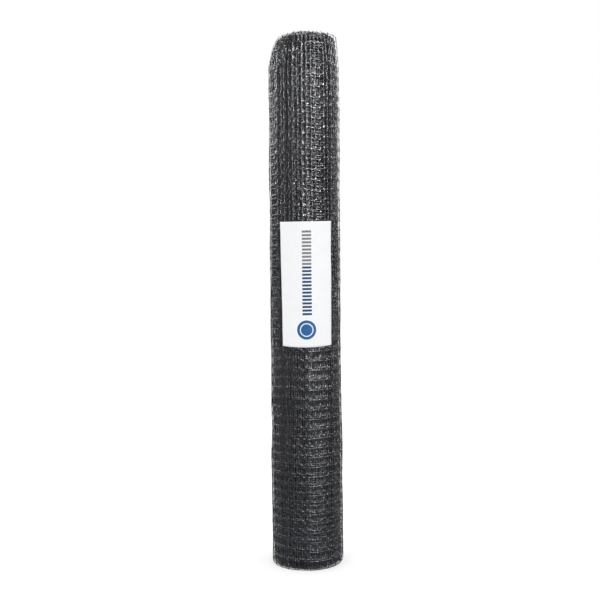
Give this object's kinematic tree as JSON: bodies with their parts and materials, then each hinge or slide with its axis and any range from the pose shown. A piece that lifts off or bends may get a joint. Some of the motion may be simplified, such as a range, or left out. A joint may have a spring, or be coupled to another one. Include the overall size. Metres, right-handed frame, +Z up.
{
  "type": "roll of plastic garden netting",
  "caption": "Tall upright roll of black square-mesh plastic garden netting, wound on itself around an open bore, with a plain paper label on its front.",
  "frame": {"origin": "centre of the foot, on the floor", "axes": "+Z up along the roll's axis, -Y towards the label, +X to the right as the label is faced"},
  "size_m": [0.165, 0.1648, 1.2192],
  "materials": {
    "netting": "extruded black polyethylene with a soft sheen",
    "label": "smooth coated white paper"
  },
  "bodies": {
    "root": {"netting_roll": "netting", "label": "label"}
  },
  "joints": []
}
